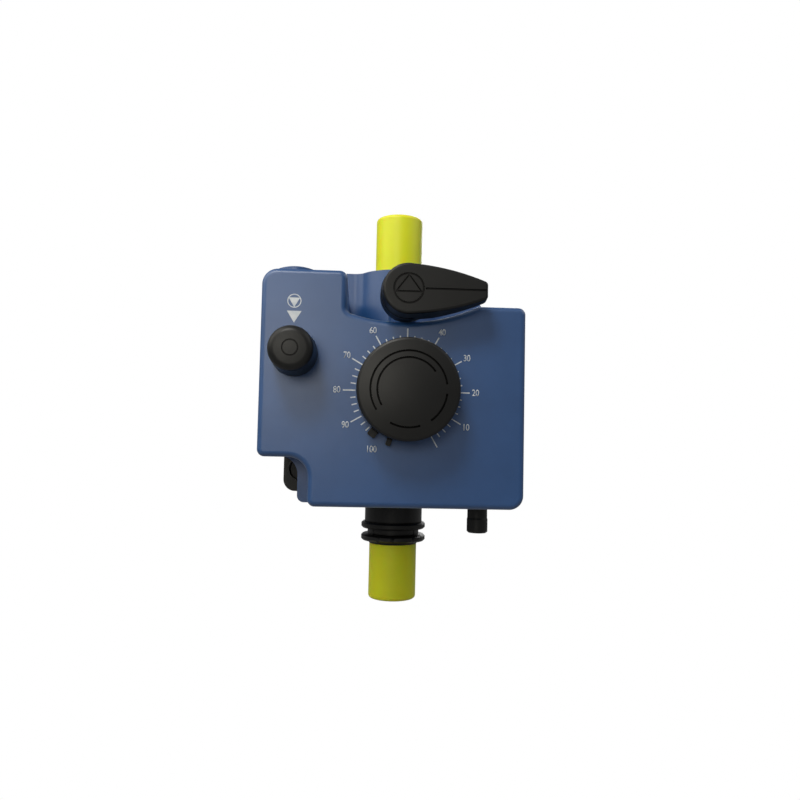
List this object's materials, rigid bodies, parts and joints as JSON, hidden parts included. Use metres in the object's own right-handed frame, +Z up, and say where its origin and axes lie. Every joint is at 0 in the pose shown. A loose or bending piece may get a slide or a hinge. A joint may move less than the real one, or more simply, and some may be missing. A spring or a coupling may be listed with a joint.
{
  "type": "diaphragm metering pump",
  "caption": "Wall-mounted diaphragm metering pump with a front stroke dial, an operating lever, a vent knob and capped ports above and below.",
  "frame": {"origin": "centre of the four wall screws on the wall plane", "axes": "+Z up, the front face looks along -Y, +X to the right seen from the front"},
  "size_m": [0.16, 0.168, 0.2819],
  "materials": {
    "blue_housing": "moulded, fine texture",
    "black_plastic": "moulded, fine texture",
    "yellow_cap": "soft polyethylene, satin",
    "steel": "turned",
    "fastener_steel": "zinc plated",
    "pvdf": "natural PVDF, satin",
    "ceramic": "polished ceramic",
    "rubber": "matte",
    "brass": "turned",
    "copper": "enamelled winding",
    "board": "solder mask"
  },
  "bodies": {
    "pump_body": {"front_cover": "blue_housing", "main_housing": "blue_housing", "vent_port_cap": "blue_housing", "wall_plate": "black_plastic", "cover_seal": "rubber", "potentiometer": "black_plastic", "circuit_board": "board", "board_screws": "fastener_steel", "cover_screws": "fastener_steel", "plate_lock_screw": "fastener_steel", "lever_bush": "brass", "rotary_valve_body": "pvdf", "spindle_gland": "black_plastic", "valve_screws": "fastener_steel", "vent_valve_body": "pvdf", "vent_riser": "pvdf", "vent_nipple": "pvdf", "vent_pipe": "pvdf", "dosing_head": "pvdf", "head_plate": "steel", "diaphragm": "rubber", "tie_bolts": "fastener_steel", "suction_seat": "ceramic", "suction_cage": "pvdf", "discharge_seat": "ceramic", "discharge_cage": "pvdf", "suction_neck": "black_plastic", "suction_o_ring": "rubber", "discharge_o_ring": "rubber", "suction_nozzle": "black_plastic", "discharge_nozzle": "black_plastic", "solenoid_yoke": "steel", "drive_screws": "fastener_steel", "pole_piece": "steel", "front_bush": "brass", "rear_bush": "brass", "guide_tube": "brass", "coil_bobbin": "black_plastic", "coil_winding": "copper", "return_spring": "steel", "connector_socket": "black_plastic"},
    "dial": {"dial_knob": "black_plastic", "dial_shaft": "steel"},
    "lever_shaft": {"lever": "black_plastic", "lever_spindle": "steel", "valve_plug": "pvdf"},
    "vent_handle": {"vent_knob": "black_plastic", "vent_stem": "steel"},
    "vent_spindle": {"vent_needle": "pvdf"},
    "armature_set": {"armature": "steel", "push_rod": "steel"},
    "suction_valve_ball": {"suction_ball": "ceramic"},
    "discharge_valve_ball": {"discharge_ball": "ceramic"},
    "suction_plug_cap": {"suction_cap": "yellow_cap"},
    "discharge_plug_cap": {"discharge_cap": "yellow_cap"},
    "retaining_clip": {"suction_clip": "black_plastic"},
    "connector_cover": {"connector_cap": "black_plastic"}
  },
  "joints": [
    {"name": "dial_turn", "type": "hinge", "parent": "pump_body", "child": "dial", "pos_m": [0.008, -0.14, -0.0014], "axis": [0, -1, 0], "range_deg": [-300, 0]},
    {"name": "lever_turn", "type": "hinge", "parent": "pump_body", "child": "lever_shaft", "pos_m": [0.007, -0.14, 0.057], "axis": [0, -1, 0], "range_deg": [0, 90]},
    {"name": "vent_knob_turn", "type": "hinge", "parent": "pump_body", "child": "vent_handle", "pos_m": [-0.0594, -0.14, 0.0198], "axis": [0, -1, 0], "range_deg": [0, 360]},
    {"name": "vent_needle_travel", "type": "slide", "parent": "pump_body", "child": "vent_spindle", "axis": [0, -1, 0], "range_m": [0, 0.00101]},
    {"name": "armature_stroke", "type": "slide", "parent": "pump_body", "child": "armature_set", "axis": [0, 1, 0], "range_m": [0, 0.00125], "stiffness_N_per_m": 4000, "deforming": ["return_spring", "diaphragm"]},
    {"name": "suction_ball_lift", "type": "slide", "parent": "pump_body", "child": "suction_valve_ball", "axis": [0, 0, 1], "range_m": [0, 0.0015]},
    {"name": "discharge_ball_lift", "type": "slide", "parent": "pump_body", "child": "discharge_valve_ball", "axis": [0, 0, 1], "range_m": [0, 0.0015]},
    {"name": "suction_cap_pull", "type": "slide", "parent": "pump_body", "child": "suction_plug_cap", "axis": [0, 0, -1], "range_m": [0, 0.045]},
    {"name": "discharge_cap_pull", "type": "slide", "parent": "pump_body", "child": "discharge_plug_cap", "axis": [0, 0, 1], "range_m": [0, 0.045]},
    {"name": "clip_pull", "type": "slide", "parent": "pump_body", "child": "retaining_clip", "axis": [0, -1, 0], "range_m": [0, 0.03]},
    {"name": "connector_cap_pull", "type": "slide", "parent": "pump_body", "child": "connector_cover", "axis": [0, 0, -1], "range_m": [0, 0.018]}
  ],
  "couplings": [
    {"joint": "vent_needle_travel", "follows": "vent_knob_turn", "m_per_rad": 0.00015915}
  ]
}
